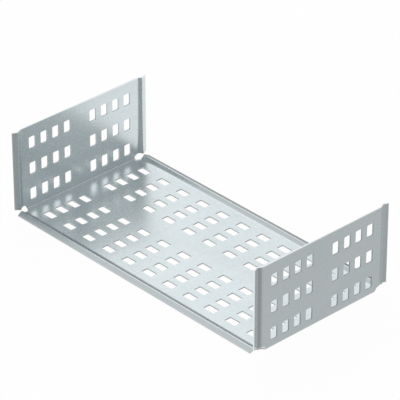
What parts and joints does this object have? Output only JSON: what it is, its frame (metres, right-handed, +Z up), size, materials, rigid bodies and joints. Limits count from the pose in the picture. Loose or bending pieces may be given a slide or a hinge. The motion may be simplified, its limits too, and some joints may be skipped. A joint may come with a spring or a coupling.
{
  "type": "cable tray connector",
  "caption": "Slotted galvanised sheet folded up into an open channel, with a stiffening bead along both ends of its floor and walls, for joining two lengths of cable tray.",
  "frame": {"origin": "middle of the floor, on its underside", "axes": "+X across the tray from one wall to the other, +Y along the tray, +Z up out of the floor"},
  "size_m": [0.295, 0.15, 0.08],
  "materials": {
    "galvanised_sheet": "galvanised, with a faint spangle"
  },
  "bodies": {
    "root": {"tray_connector": "galvanised_sheet"}
  },
  "joints": []
}
